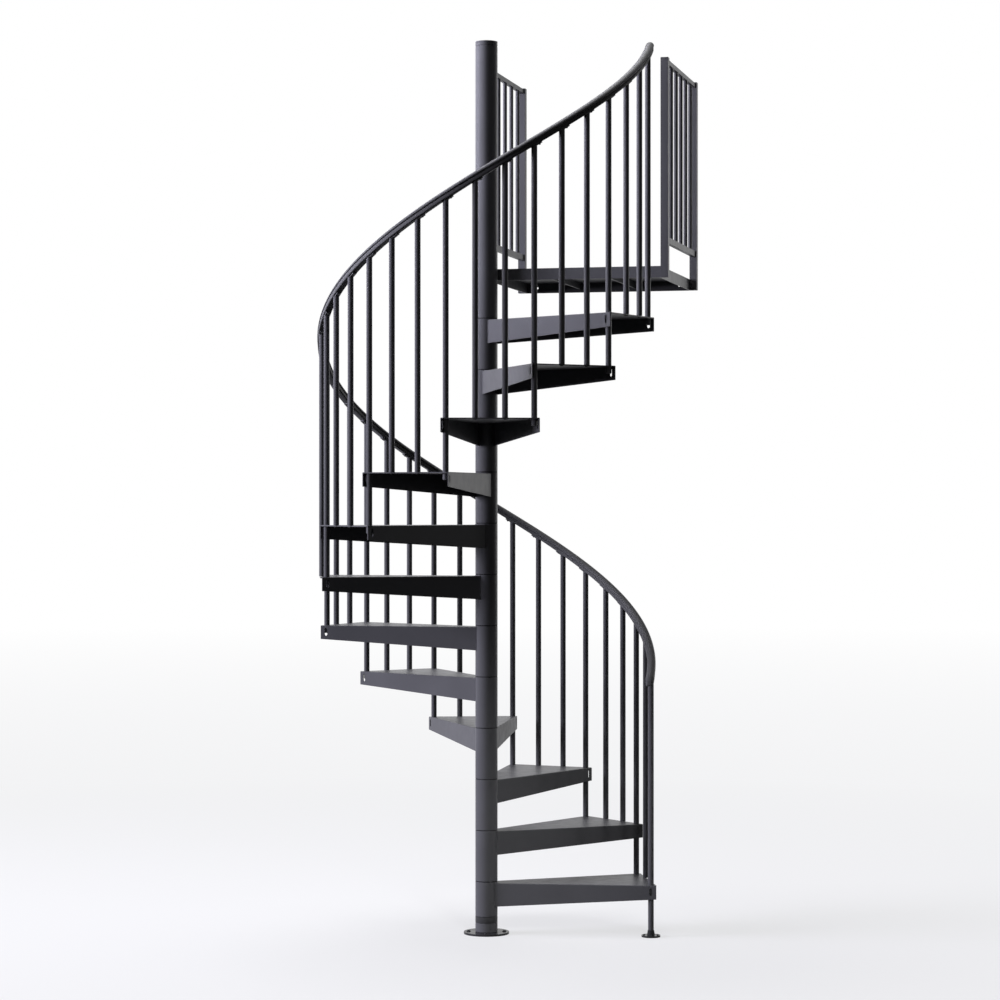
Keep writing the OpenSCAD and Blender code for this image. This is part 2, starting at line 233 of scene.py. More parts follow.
@dataclass(frozen=True)
class FloorFinish:
    """A pale matt floor that keeps the stair's shadow and fades to white far from it.

    Attributes:
        near: Tone of the floor at the stair.
        far: Tone far from it.
        fade_start: Distance from the stair at which the fade starts, in metres.
        fade_end: Distance at which it ends.
        shade: Share of the floor's tone that the stair's shadow can take away.
        shade_end: Distance from the stair at which that share is nothing.
        matt: Colour of the part that takes the shadow.
        bounce: Colour by which the floor lights the stair from below.
    """

    near: Colour = (0.872, 0.874, 0.888)
    far: Colour = WHITE
    fade_start: float = 1.5
    fade_end: float = 30.0
    shade: float = 0.24
    shade_end: float = 7.0
    matt: Colour = (0.59, 0.59, 0.605)
    bounce: Colour = (0.01, 0.01, 0.0105)

    def material(self) -> bpy.types.Material:
        """Builds the node material.

        Returns:
            The finished material.
        """
        sheet = NodeSheet("pale_floor")
        place = sheet.add("ShaderNodeTexCoord")
        reach = sheet.add("ShaderNodeVectorMath")
        reach.operation = "LENGTH"
        sheet.join(place.outputs["Object"], reach.inputs[0])
        fade = sheet.add("ShaderNodeMapRange", From_Min=self.fade_start, From_Max=self.fade_end)
        sheet.join(reach.outputs["Value"], fade.inputs["Value"])
        tone = sheet.add("ShaderNodeValToRGB")
        for stop, colour in zip(tone.color_ramp.elements, (self.near, self.far)):
            stop.color = (*colour, 1.0)
        sheet.join(fade.outputs["Result"], tone.inputs["Fac"])
        glow = sheet.add("ShaderNodeEmission", Strength=1.0)
        sheet.join(tone.outputs["Color"], glow.inputs["Color"])
        matt = sheet.add("ShaderNodeBsdfDiffuse", Color=(*self.matt, 1.0))
        share = sheet.add("ShaderNodeMapRange", From_Min=self.fade_start, From_Max=self.shade_end,
                          To_Min=self.shade, To_Max=0.0)
        sheet.join(reach.outputs["Value"], share.inputs["Value"])
        shown = sheet.add("ShaderNodeMixShader")
        sheet.join(share.outputs["Result"], shown.inputs["Fac"])
        sheet.join(glow.outputs["Emission"], shown.inputs[1])
        sheet.join(matt.outputs["BSDF"], shown.inputs[2])
        hidden = sheet.add("ShaderNodeBsdfDiffuse", Color=(*self.bounce, 1.0))
        pick = sheet.add("ShaderNodeMixShader")
        sheet.join(seen_rays(sheet.tree), pick.inputs["Fac"])
        sheet.join(hidden.outputs["BSDF"], pick.inputs[1])
        sheet.join(shown.outputs["Shader"], pick.inputs[2])
        sheet.join(pick.outputs["Shader"], sheet.output.inputs["Surface"])
        return sheet.material


def seen_rays(tree: bpy.types.NodeTree) -> bpy.types.NodeSocket:
    """Adds nodes that tell the rays which show a background: camera, glossy and transmission.

    Args:
        tree: Node tree of a material or of the world.

    Returns:
        A socket that is 1 for those rays and 0 for the rest.
    """
    path = tree.nodes.new("ShaderNodeLightPath")
    total = path.outputs["Is Camera Ray"]
    for name in ("Is Glossy Ray", "Is Transmission Ray"):
        either = tree.nodes.new("ShaderNodeMath")
        either.operation = "MAXIMUM"
        tree.links.new(total, either.inputs[0])
        tree.links.new(path.outputs[name], either.inputs[1])
        total = either.outputs["Value"]
    return total


@dataclass(frozen=True)
class StairPlan:
    """Driving sizes of the stair in metres and degrees, and the places that follow from them."""

    riser: float = 228.6 * MM
    tread_count: int = 12
    tread_turn: float = 29.37
    landing_gap: float = 1.5
    balusters_per_tread: int = 3
    baluster_radius: float = 737.0 * MM
    baluster_d: float = 25.4 * MM
    foot_drop: float = 30.0 * MM
    plate_t: float = 5.0 * MM
    flange_t: float = 4.0 * MM
    flange_gap: float = 1.0 * MM
    flange_offset: float = 32.0 * MM
    flange_hub_depth: float = 107.0 * MM
    hub_d: float = 99.5 * MM
    hub_proud: float = 6.5 * MM
    rail_height: float = 961.5 * MM
    rail_h: float = 36.0 * MM
    rail_gap: float = 0.3 * MM
    tab_t: float = 5.0 * MM

    @property
    def treads(self) -> range:
        """Numbers of the treads, from the foot up."""
        return range(1, self.tread_count + 1)

    def tread_mid(self, k: int) -> float:
        """Angle of the middle of tread k."""
        return -(self.tread_turn / 2 + self.landing_gap) - (self.tread_count - k) * self.tread_turn

    def tread_top(self, k: int) -> float:
        """Height of the top of tread k."""
        return k * self.riser

    def baluster_angle(self, k: int, j: int) -> float:
        """Angle of baluster j of tread k, where j = 0 is the tread's front corner."""
        return self.tread_mid(k) + (j / self.balusters_per_tread - 0.5) * self.tread_turn

    @property
    def tread_half(self) -> float:
        """Half the angle between the sides of a tread."""
        lap = self.flange_offset - (self.flange_t + self.flange_gap + self.baluster_d / 2)
        return self.tread_turn / 2 - math.degrees(math.asin(lap / self.baluster_radius))

    @property
    def weld_half(self) -> float:
        """Half the angle between a tread's flanges where they meet the hub."""
        return self.tread_half + math.degrees(math.asin(self.flange_offset / (self.hub_d / 2)))

    @property
    def newel_angle(self) -> float:
        """Angle of the newel at the foot of the stair."""
        return self.baluster_angle(1, 0)

    @property
    def last_angle(self) -> float:
        """Angle of the last baluster, beside the landing."""
        return self.baluster_angle(self.tread_count, self.balusters_per_tread)

    @property
    def rail_pitch(self) -> float:
        """Slope of the rail along its middle line, in degrees."""
        going = math.radians(self.tread_turn) * self.baluster_radius
        return math.degrees(math.atan(self.riser / going))

    @property
    def rail_section(self) -> float:
        """Height of the rail, measured upright."""
        return self.rail_h / math.cos(math.radians(self.rail_pitch))

    def rail_under(self, angle: float) -> float:
        """Height of the rail's underside at an angle."""
        climb = (angle - self.newel_angle) * self.riser / self.tread_turn
        return self.riser + self.rail_height + climb - self.rail_section

    def baluster_angles(self) -> Iterator[float]:
        """Goes through the angles of the newel and of all balusters, from the foot up.

        Yields:
            The next angle, in degrees.
        """
        yield self.newel_angle
        for k in self.treads:
            for j in range(1, self.balusters_per_tread + 1):
                yield self.baluster_angle(k, j)

    def place(self, angle: float, radius: float, height: float) -> Matrix:
        """Gives the frame at a point of the stair: X outwards, Y uphill along the circle, Z up."""
        return Matrix.Rotation(math.radians(angle), 4, "Z") @ Matrix.Translation((radius, 0.0, height))

    def tab_place(self, angle: float) -> Matrix:
        """Gives the frame on a baluster's tab: Y uphill along the rail, Z square to it, origin on its top.

        Args:
            angle: Angle of the baluster.

        Returns:
            The frame as a 4x4 matrix.
        """
        pitch = math.radians(self.rail_pitch)
        height = self.rail_under(angle) - self.rail_gap / math.cos(pitch)
        return self.place(angle, self.baluster_radius, height) @ Matrix.Rotation(pitch, 4, "X")


def arc(centre: tuple[float, float], radii: tuple[float, float], start: float, end: float,
        count: int) -> Points:
    """Gives points along an elliptic arc.

    Args:
        centre: Middle of the ellipse.
        radii: Its half axes.
        start: First angle, in degrees.
        end: Last angle, in degrees.
        count: Number of steps.

    Returns:
        The points from start to end.
    """
    angles = [math.radians(start + (end - start) * i / count) for i in range(count + 1)]
    return [(centre[0] + radii[0] * math.cos(a), centre[1] + radii[1] * math.sin(a)) for a in angles]


def stamp(shape: bmesh.types.BMesh, places: Iterable[Matrix]) -> bmesh.types.BMesh:
    """Copies a shape to many places in one mesh.

    Args:
        shape: The shape at the origin. It is freed.
        places: A frame for each copy.

    Returns:
        The joined copies.
    """
    joined = bmesh.new()
    scratch = bpy.data.meshes.new("scratch")
    for frame_of_copy in places:
        copy = shape.copy()
        bmesh.ops.transform(copy, matrix=frame_of_copy, verts=copy.verts)
        copy.to_mesh(scratch)
        copy.free()
        joined.from_mesh(scratch)
    bpy.data.meshes.remove(scratch)
    shape.free()
    return joined


def round_edges(mesh: bmesh.types.BMesh, edges: list[bmesh.types.BMEdge], radius: float,
                segments: int) -> None:
    """Rounds edges of a mesh.

    Args:
        mesh: The mesh.
        edges: The edges to round.
        radius: Width of the rounding.
        segments: Number of steps across it.
    """
    bmesh.ops.bevel(mesh, geom=edges, offset=radius, offset_type="OFFSET", affect="EDGES",
                    segments=segments, profile=0.5, material=-1, clamp_overlap=True)


def level_edges(mesh: bmesh.types.BMesh) -> list[bmesh.types.BMEdge]:
    """Lists the edges whose two ends are at one height."""
    return [e for e in mesh.edges if abs(e.verts[0].co.z - e.verts[1].co.z) < SAME_HEIGHT]


def lowest_edges(mesh: bmesh.types.BMesh) -> list[bmesh.types.BMEdge]:
    """Lists the edges that lie at the mesh's lowest height."""
    low = min(v.co.z for v in mesh.verts)
    return [e for e in mesh.edges if all(abs(v.co.z - low) < SAME_HEIGHT for v in e.verts)]


def picked(parts: Iterable[object], kind: type) -> list:
    """Lists the parts of one kind in the result of a mesh operator."""
    return [part for part in parts if isinstance(part, kind)]


def spin_round(mesh: bmesh.types.BMesh, angle: float, steps: int) -> None:
    """Sweeps all of a mesh's points and edges round the column's axis.

    Args:
        mesh: The mesh, which holds only the section.
        angle: Angle of the sweep, in degrees. A full turn is closed.
        steps: Number of steps.
    """
    bmesh.ops.spin(mesh, geom=mesh.verts[:] + mesh.edges[:], cent=ORIGIN, axis=UP, dvec=ORIGIN,
                   angle=math.radians(angle), steps=steps, use_merge=angle == FULL_TURN)


def add_piece(name: str, mesh: bmesh.types.BMesh, finish: bpy.types.Material, slot: Slot,
              crease: float = 32.0) -> bpy.types.Object:
    """Turns a finished mesh into a piece that rides on the stair.

    Args:
        name: Name of the piece.
        mesh: Its mesh, in the stair's frame. It is freed.
        finish: Its material.
        slot: Not used.
        crease: Angle above which an edge stays sharp, in degrees.

    Returns:
        The new object.
    """
    bmesh.ops.recalc_face_normals(mesh, faces=mesh.faces)
    for face in mesh.faces:
        face.smooth = True
    data = bpy.data.meshes.new(name)
    mesh.to_mesh(data)
    mesh.free()
    data.set_sharp_from_angle(angle=math.radians(crease))
    data.materials.append(finish)
    piece = bpy.data.objects.new(name, data)
    bpy.context.scene.collection.objects.link(piece)
    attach(piece, "root")
    LOG.info("%s: %d faces", name, len(data.polygons))
    return piece


@dataclass
class Handrail:
    """The helical rail: a domed cover with lips over a narrower body, and rounded ends.

    Attributes:
        plan: The stair's plan.
        width: Width of the cover.
        dome: Height of the cover's dome above its lips.
        lip: Radius of the lips.
        neck: Width between the grooves below the lips.
        body: Width of the body below the grooves.
        groove: Height of the grooves.
        chest: Radius of the body's upper corners.
        corner: Radius of the body's lower corners.
        dome_steps: Number of steps along half the dome.
        lip_steps: Number of steps round a lip.
        chest_steps: Number of steps round an upper corner.
        corner_steps: Number of steps round a lower corner.
        overrun: How far the rail runs past its end balusters, in degrees.
        step: Angle between neighbouring rings, in degrees.
        nose: Length of a rounded end, in degrees.
        nose_sweep: Angle over which the end is rounded, in degrees.
        nose_rings: Number of rings in a rounded end.
        nose_tip: Share of the section's size that a rounding of a full quarter turn would leave.
        crease: Angle above which an edge of the rail stays sharp, in degrees.
    """

    plan: StairPlan
    width: float = 38.0 * MM
    dome: float = 14.0 * MM
    lip: float = 2.4 * MM
    neck: float = 31.0 * MM
    body: float = 34.5 * MM
    groove: float = 4.5 * MM
    chest: float = 1.5 * MM
    corner: float = 4.5 * MM
    dome_steps: int = 14
    lip_steps: int = 4
    chest_steps: int = 3
    corner_steps: int = 5
    overrun: float = 5.0
    step: float = 1.25
    nose: float = 1.3
    nose_sweep: float = 80.0
    nose_rings: int = 5
    nose_tip: float = 0.35
    crease: float = 40.0

    def half_outline(self) -> Points:
        """Gives the right half of the rail's section, from the top down, square to its slope.

        Returns:
            Points as distance from the middle and height above it.
        """
        crown = self.plan.rail_h / 2
        shoulder = crown - self.dome
        under_lip = shoulder - self.lip
        body_top = under_lip - self.groove
        foot = -crown
        up, level, down = RIGHT_ANGLE, 0.0, -RIGHT_ANGLE
        points = arc((0.0, shoulder), (self.width / 2, self.dome), up, level, self.dome_steps)
        points += arc((self.width / 2 - self.lip, shoulder), (self.lip, self.lip), level, down,
                      self.lip_steps)[1:]
        points += [(self.neck / 2, under_lip), (self.neck / 2, body_top)]
        side = self.body / 2
        points += arc((side - self.chest, body_top - self.chest), (self.chest, self.chest), up, level,
                      self.chest_steps)
        points += arc((side - self.corner, foot + self.corner), (self.corner, self.corner), level, down,
                      self.corner_steps)
        return points

    def outline(self) -> Points:
        """Gives the whole section as a closed ring of points."""
        right = self.half_outline()
        left = [(-u, v) for u, v in reversed(right[1:])]
        return right + left

    def middle(self, angle: float) -> Vector:
        """Gives the middle of the rail's section at an angle."""
        height = self.plan.rail_under(angle) + self.plan.rail_section / 2
        return self.plan.place(angle, self.plan.baluster_radius, height).translation

    def build_nose(self, mesh: bmesh.types.BMesh, cap: bmesh.types.BMFace, start: float, way: int) -> None:
        """Extrudes an end face into a rounded nose.

        Args:
            mesh: The rail's mesh.
            cap: The flat face at the end.
            start: Angle of that face.
            way: 1 where the nose points uphill, -1 where it points downhill.
        """
        last_angle, last_size = start, 1.0
        for i in range(1, self.nose_rings + 1):
            turn = math.radians(self.nose_sweep * i / self.nose_rings)
            angle = start + way * self.nose * math.sin(turn)
            size = self.nose_tip + (1.0 - self.nose_tip) * math.cos(turn)
            grown = bmesh.ops.extrude_face_region(mesh, geom=[cap])
            verts = picked(grown["geom"], bmesh.types.BMVert)
            mesh.faces.remove(cap)
            cap = picked(grown["geom"], bmesh.types.BMFace)[0]
            bmesh.ops.rotate(mesh, verts=verts, cent=ORIGIN,
                             matrix=Matrix.Rotation(math.radians(angle - last_angle), 3, "Z"))
            centre = self.middle(angle)
            rise = centre.z - self.middle(last_angle).z
            bmesh.ops.translate(mesh, verts=verts, vec=UP * rise)
            ratio = size / last_size
            bmesh.ops.scale(mesh, verts=verts, vec=(ratio, ratio, ratio), space=Matrix.Translation(-centre))
            last_angle, last_size = angle, size

    def build(self) -> bmesh.types.BMesh:
        """Sweeps the section up the helix and closes both ends.

        Returns:
            The rail's mesh.
        """
        plan = self.plan
        start = plan.newel_angle - self.overrun + self.nose
        end = plan.last_angle + self.overrun - self.nose
        steps = math.ceil((end - start) / self.step)
        upright = 1.0 / math.cos(math.radians(plan.rail_pitch))
        mesh = bmesh.new()
        section = [mesh.verts.new((u, 0.0, v * upright)) for u, v in self.outline()]
        first = plan.place(start, plan.baluster_radius, self.middle(start).z)
        bmesh.ops.transform(mesh, verts=section, matrix=first)
        edges = [mesh.edges.new((a, b)) for a, b in zip(section, section[1:] + section[:1])]
        climb = (end - start) * plan.riser / plan.tread_turn / steps
        swept = bmesh.ops.spin(mesh, geom=section + edges, cent=ORIGIN, axis=UP, dvec=UP * climb,
                               angle=math.radians(end - start), steps=steps, use_merge=False)
        top_ring = picked(swept["geom_last"], bmesh.types.BMEdge)
        for ring, angle, way in ((edges, start, -1), (top_ring, end, 1)):
            filled = bmesh.ops.edgeloop_fill(mesh, edges=ring)
            self.build_nose(mesh, filled["faces"][0], angle, way)
        return mesh

    def dress(self, finish: bpy.types.Material) -> None:
        """Puts the smooth rail in the place of the plain one."""
        rail = add_piece("handrail_cover", self.build(), finish, Slot.GRIP, crease=self.crease)
        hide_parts("handrail")


@dataclass(frozen=True)
class ButtonHead:
    """The head of a button-head screw with a hexagon socket.

    Attributes:
        head_d: Diameter of the head.
        head_h: Height of the head.
        socket: Distance across the flats of the socket.
        sides: Number of steps round the head.
        crown: Radius of the head's flat end, as a share of its diameter.
        rounding: Radius of the head's edge, as a share of its height.
        edge_steps: Number of steps across that edge.
        rim: Width by which the socket's face is first set in.
        depth: Depth of the socket, as a share of the head's height.
    """

    head_d: float = 10.5 * MM
    head_h: float = 4.0 * MM
    socket: float = 4.0 * MM
    sides: int = 24
    crown: float = 0.32
    rounding: float = 0.4
    edge_steps: int = 3
    rim: float = 0.5 * MM
    depth: float = 0.55

    def build(self) -> bmesh.types.BMesh:
        """Models one head that hangs below z = 0.

        Returns:
            The head's mesh.
        """
        mesh = bmesh.new()
        bmesh.ops.create_cone(mesh, cap_ends=True, segments=self.sides, radius1=self.head_d * self.crown,
                              radius2=self.head_d / 2, depth=self.head_h)
        bmesh.ops.translate(mesh, verts=mesh.verts, vec=-UP * self.head_h / 2)
        face = min(mesh.faces, key=lambda f: f.calc_center_median().z)
        round_edges(mesh, list(face.edges), self.head_h * self.rounding, self.edge_steps)
        face = min(mesh.faces, key=lambda f: (round(f.calc_center_median().z, 6), -f.calc_area()))
        bmesh.ops.inset_region(mesh, faces=[face], thickness=self.rim, use_even_offset=True)
        for vert in face.verts:
            bearing = math.degrees(math.atan2(vert.co.y, vert.co.x))
            angle = bearing % (2.0 * HEX_HALF) - HEX_HALF
            reach = self.socket / 2 / math.cos(math.radians(angle))
            flat = Vector((vert.co.x, vert.co.y, 0.0)).normalized() * reach
            vert.co = Vector((flat.x, flat.y, vert.co.z))
        grown = bmesh.ops.extrude_face_region(mesh, geom=[face])
        mesh.faces.remove(face)
        floor = picked(grown["geom"], bmesh.types.BMVert)
        bmesh.ops.translate(mesh, verts=floor, vec=UP * self.head_h * self.depth)
        return mesh


@dataclass(frozen=True)
class HexHead:
    """The hexagon head of a bolt with its washer.

    Attributes:
        washer_d: Diameter of the washer.
        washer_t: Thickness of the washer.
        washer_edge: Radius of the washer's edges.
        washer_sides: Number of steps round the washer.
        flats: Distance across the flats of the head.
        head_h: Height of the head.
        head_edge: Radius of the head's outer edge.
        edge_steps: Number of steps across a rounded edge.
    """

    washer_d: float = 22.0 * MM
    washer_t: float = 1.2 * MM
    washer_edge: float = 0.4 * MM
    washer_sides: int = 28
    flats: float = 13.0 * MM
    head_h: float = 3.0 * MM
    head_edge: float = 1.0 * MM
    edge_steps: int = 2

    def build(self) -> bmesh.types.BMesh:
        """Models one head with its washer, hanging below z = 0.

        Returns:
            The mesh of both.
        """
        mesh = bmesh.new()
        bmesh.ops.create_cone(mesh, cap_ends=True, segments=self.washer_sides, radius1=self.washer_d / 2,
                              radius2=self.washer_d / 2, depth=self.washer_t,
                              matrix=Matrix.Translation(-UP * self.washer_t / 2))
        round_edges(mesh, level_edges(mesh), self.washer_edge, self.edge_steps)
        corner = self.flats / 2 / math.cos(math.radians(HEX_HALF))
        bmesh.ops.create_cone(mesh, cap_ends=True, segments=HEX_SIDES, radius1=corner, radius2=corner,
                              depth=self.head_h,
                              matrix=Matrix.Translation(-UP * (self.washer_t + self.head_h / 2)))
        round_edges(mesh, lowest_edges(mesh), self.head_edge, self.edge_steps)
        return mesh


@dataclass
class RailScrews:
    """Button-head screws that hold the balusters' tabs to the rail from below.

    Attributes:
        plan: The stair's plan.
        head: Shape of the heads.
        along: Distance of a screw from its baluster's axis, uphill.
    """

    plan: StairPlan
    head: ButtonHead = ButtonHead()
    along: float = 25.0 * MM

    def dress(self, finish: bpy.types.Material) -> None:
        """Sets one screw below every tab.

        Args:
            finish: Material of the screws.
        """
        seat = Matrix.Translation((0.0, self.along, -self.plan.tab_t))
        places = [self.plan.tab_place(angle) @ seat for angle in self.plan.baluster_angles()]
        add_piece("rail_screws", stamp(self.head.build(), places), finish, Slot.COAT)


@dataclass
class FootScrews:
    """Button-head screws that hold the newel's foot to the floor.

    Attributes:
        plan: The stair's plan.
        head: Shape of the heads.
        count: Number of screws.
        circle: Diameter of the screws' circle.
        seat: Height of the foot's flange.
    """

    plan: StairPlan
    head: ButtonHead = ButtonHead()
    count: int = 4
    circle: float = 60.0 * MM
    seat: float = 8.0 * MM

    def dress(self, finish: bpy.types.Material) -> None:
        """Sets the screws in the foot's holes.

        Args:
            finish: Material of the screws.
        """
        newel = self.plan.place(self.plan.newel_angle, self.plan.baluster_radius, self.seat)
        angles = [math.radians(i * FULL_TURN / self.count) for i in range(self.count)]
        reach = Matrix.Translation((self.circle / 2, 0.0, 0.0))
        places = [newel @ Matrix.Rotation(angle, 4, "Z") @ reach @ FLIP for angle in angles]
        add_piece("foot_screws", stamp(self.head.build(), places), finish, Slot.COAT)


@dataclass
class TreadBolts:
    """Hexagon bolts with washers that hold the standing balusters from below the tread plates.

    Attributes:
        plan: The stair's plan.
        head: Shape of the heads.
    """

    plan: StairPlan
    head: HexHead = HexHead()

    def dress(self, finish: bpy.types.Material) -> None:
        """Sets a bolt below every baluster that stands on a plate.

        Args:
            finish: Material of the bolts.
        """
        plan = self.plan
        places = [plan.place(plan.baluster_angle(k, j), plan.baluster_radius,
                             plan.tread_top(k) - plan.plate_t)
                  for k in plan.treads for j in range(1, plan.balusters_per_tread)]
        add_piece("tread_bolts", stamp(self.head.build(), places), finish, Slot.COAT)


@dataclass
class AnchorBolts:
    """Low button-head bolts that hold the base plate to the floor.

    Attributes:
        plan: The stair's plan.
        head: Shape of the heads.
        count: Number of bolts.
        circle: Diameter of the bolts' circle.
        turn: Turn of the first bolt from the landing's front line, in degrees.
        seat: Thickness of the base plate.
    """

    plan: StairPlan
    head: ButtonHead = ButtonHead(head_d=20.0 * MM, head_h=5.0 * MM, socket=8.0 * MM)
    count: int = 4
    circle: float = 160.0 * MM
    turn: float = 13.0
    seat: float = 9.0 * MM

    def dress(self, finish: bpy.types.Material) -> None:
        """Sets the bolts in the base plate's holes.

        Args:
            finish: Material of the bolts.
        """
        angles = [self.turn + i * FULL_TURN / self.count for i in range(self.count)]
        places = [self.plan.place(angle, self.circle / 2, self.seat) @ FLIP for angle in angles]
        add_piece("anchor_bolts", stamp(self.head.build(), places), finish, Slot.COAT)


@dataclass
class HubGapShadeRings:
    """Near-black rings in the grooves between the hub sleeves, standing in for the shade in the deep joint
    gaps: painted shade.

    Attributes:
        plan: The stair's plan.
        cord: Diameter of a ring's cord.
        inset: Depth of a ring's face below the sleeves' face.
        sides: Number of steps round the cord.
        steps: Number of steps round the column.
    """

    plan: StairPlan
    cord: float = 4.2 * MM
    inset: float = 0.4 * MM
    sides: int = 10
    steps: int = 96

    def build(self) -> bmesh.types.BMesh:
        """Models one ring round the column at z = 0.

        Returns:
            The ring's mesh.
        """
        mesh = bmesh.new()
        ring = bmesh.ops.create_circle(mesh, segments=self.sides, radius=self.cord / 2)["verts"]
        middle = self.plan.hub_d / 2 - self.inset - self.cord / 2
        upright = self.plan.place(0.0, middle, 0.0) @ Matrix.Rotation(math.radians(RIGHT_ANGLE), 4, "X")
        bmesh.ops.transform(mesh, verts=ring, matrix=upright)
        spin_round(mesh, FULL_TURN, self.steps)
        return mesh

    def dress(self, finish: bpy.types.Material) -> None:
        """Sets a ring above every hub sleeve of a tread.

        Args:
            finish: Material of the rings, a near-black that paints the shade of the joint gaps.
        """
        plan = self.plan
        places = [Matrix.Translation(UP * (plan.tread_top(k) + plan.hub_proud)) for k in plan.treads]
        add_piece("hub_gap_shade_rings", stamp(self.build(), places), finish, Slot.COAT)


@dataclass
class BaseShadeBand:
    """A dark band that fills the spacer above the base collar out to the column's width; its dark tone is
    painted shade of the recess there.

    Attributes:
        plan: The stair's plan.
        spacer: Name of the spacer's node.
        clear: Gap between the band's edges and the sleeves.
        edge: Radius of the band's edges.
        edge_steps: Number of steps across such an edge.
        slack: Distance within which an edge counts as on the band's outer face.
        steps: Number of steps round the column.
    """

    plan: StairPlan
    spacer: str = "base_spacer"
    clear: float = 0.4 * MM
    edge: float = 1.0 * MM
    edge_steps: int = 2
    slack: float = 0.01 * MM
    steps: int = 96

    def build(self) -> bmesh.types.BMesh:
        """Spins the band's section round the column.

        Returns:
            The band's mesh.
        """
        low, high = (Vector(corner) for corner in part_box(self.spacer))
        inner, outer = high.x, self.plan.hub_d / 2
        size = Vector((outer - inner, 1.0, high.z - low.z - 2.0 * self.clear))
        mesh = bmesh.new()
        section = bmesh.ops.create_grid(mesh, x_segments=1, y_segments=1, size=0.5)["verts"]
        bmesh.ops.rotate(mesh, verts=section, matrix=Matrix.Rotation(math.radians(RIGHT_ANGLE), 3, "X"))
        bmesh.ops.scale(mesh, verts=section, vec=size)
        bmesh.ops.translate(mesh, verts=section, vec=((inner + outer) / 2, 0.0, (low.z + high.z) / 2))
        bmesh.ops.delete(mesh, geom=mesh.faces[:], context="FACES_ONLY")
        spin_round(mesh, FULL_TURN, self.steps)
        rims = [e for e in level_edges(mesh) if min(v.co.xy.length for v in e.verts) > outer - self.slack]
        round_edges(mesh, rims, self.edge, self.edge_steps)
        return mesh

    def dress(self, finish: bpy.types.Material) -> None:
        """Sets the band on the spacer."""
        add_piece("base_shade_band", self.build(), finish, Slot.COAT)


@dataclass
class StubPlugs:
    """Domed plugs that close the lower ends of the corner balusters.

    Attributes:
        plan: The stair's plan.
        height: Height of a plug below the tube's end.
        foot: Width of a plug's lower end, as a share of the tube's.
        top: Width of a plug's upper end, as a share of the tube's.
        rounding: Radius of a plug's lower edge, as a share of its height.
        edge_steps: Number of steps across that edge.
        sides: Number of steps round a plug.
    """

    plan: StairPlan
    height: float = 4.0 * MM
    foot: float = 0.94
    top: float = 0.98
    rounding: float = 0.6
    edge_steps: int = 4
    sides: int = 28

    def build(self) -> bmesh.types.BMesh:
        """Models one plug that hangs below z = 0.

        Returns:
            The plug's mesh.
        """
        mesh = bmesh.new()
        radius = self.plan.baluster_d / 2
        bmesh.ops.create_cone(mesh, cap_ends=True, segments=self.sides, radius1=radius * self.foot,
                              radius2=radius * self.top, depth=self.height,
                              matrix=Matrix.Translation(-UP * self.height / 2))
        round_edges(mesh, lowest_edges(mesh), self.height * self.rounding, self.edge_steps)
        return mesh

    def dress(self, finish: bpy.types.Material) -> None:
        """Sets a plug in every corner baluster.

        Args:
            finish: Material of the plugs.
        """
        plan = self.plan
        places = [plan.place(plan.baluster_angle(k, plan.balusters_per_tread), plan.baluster_radius,
                             plan.tread_top(k) - plan.foot_drop) for k in plan.treads]
        add_piece("baluster_plugs", stamp(self.build(), places), finish, Slot.COAT)


